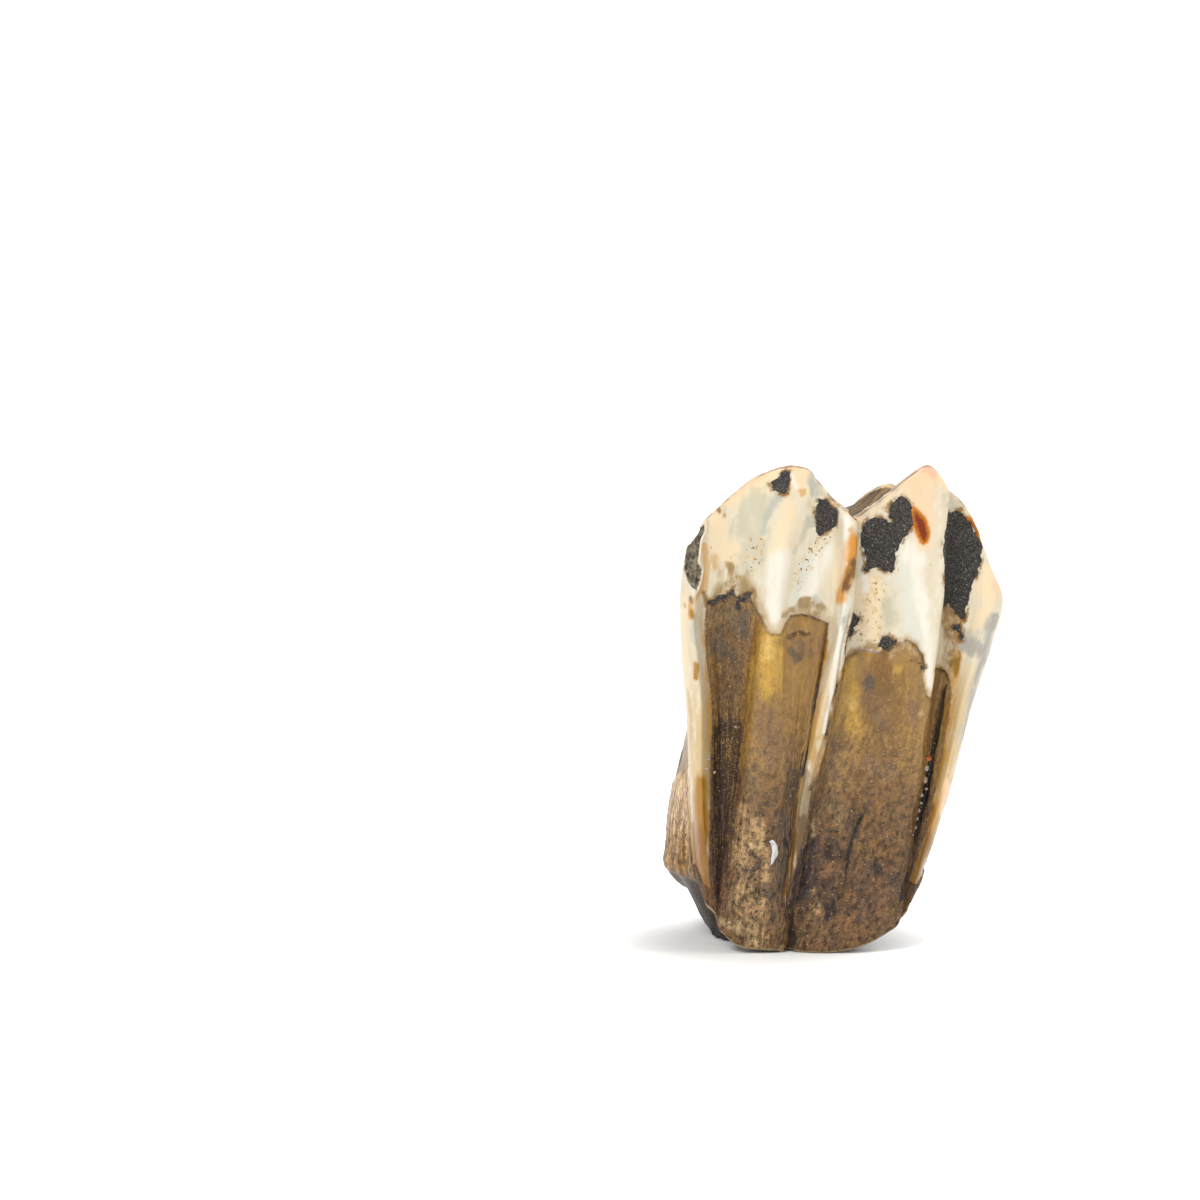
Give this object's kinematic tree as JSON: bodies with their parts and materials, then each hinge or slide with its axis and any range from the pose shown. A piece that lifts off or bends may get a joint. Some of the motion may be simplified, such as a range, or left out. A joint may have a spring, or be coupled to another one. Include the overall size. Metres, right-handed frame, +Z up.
{
  "type": "fossil horse tooth",
  "caption": "Tall fossil upper cheek tooth that stands on its broken root, with three styles and two ribs on its outer wall and two pointed cusps.",
  "frame": {"origin": "on the floor, under the middle of the tooth's box", "axes": "+Z up along the crown, -Y towards the ribbed outer wall, +X to the right as that wall is looked at"},
  "size_m": [0.0324, 0.0246, 0.048],
  "materials": {
    "tooth": "cream enamel at the crown, brown cement below, black mineral patches"
  },
  "bodies": {
    "root": {"tooth": "tooth"}
  },
  "joints": []
}
